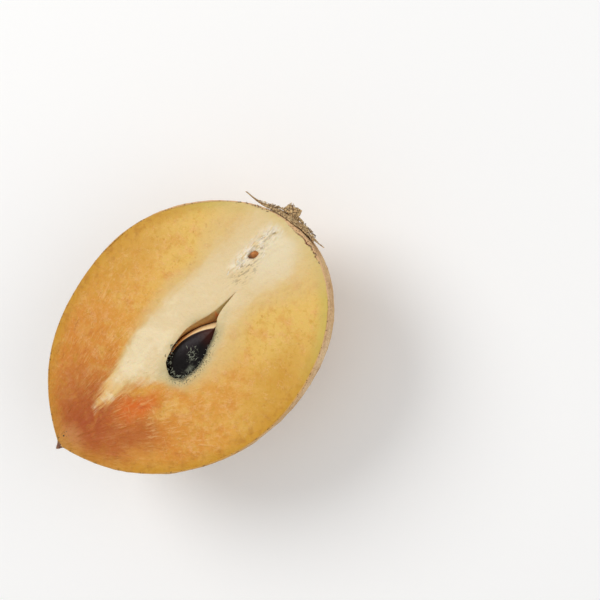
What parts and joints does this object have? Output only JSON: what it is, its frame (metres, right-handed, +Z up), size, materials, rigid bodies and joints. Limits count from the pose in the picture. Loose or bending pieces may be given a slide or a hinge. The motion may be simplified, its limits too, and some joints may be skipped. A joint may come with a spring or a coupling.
{
  "type": "half sapodilla",
  "caption": "Sapodilla cut lengthwise, lying on its rounded skin with the cut face up: golden flesh, pale core, dark seed, dry calyx at the stem end.",
  "frame": {"origin": "middle of the small flat spot under the rounded back, where the half rests", "axes": "+Z up, square to the cut face; +X along the cut face from the pointed tip to the stem; +Y across, to the side of the core that has no seed"},
  "size_m": [0.0759, 0.0531, 0.0265],
  "materials": {
    "flesh": "moist granular flesh",
    "skin": "dry scurfy skin",
    "seed_coat": "glossy",
    "brown_seed": "matte",
    "dry_calyx": "dry and fibrous",
    "dry_stalk": "dry and fibrous",
    "dry_style": "dry"
  },
  "bodies": {
    "root": {"fruit_half": "flesh", "seed": "seed_coat", "undeveloped_seed": "brown_seed", "calyx": "dry_calyx", "stalk_stub": "dry_stalk", "style_tip": "dry_style"}
  },
  "joints": []
}
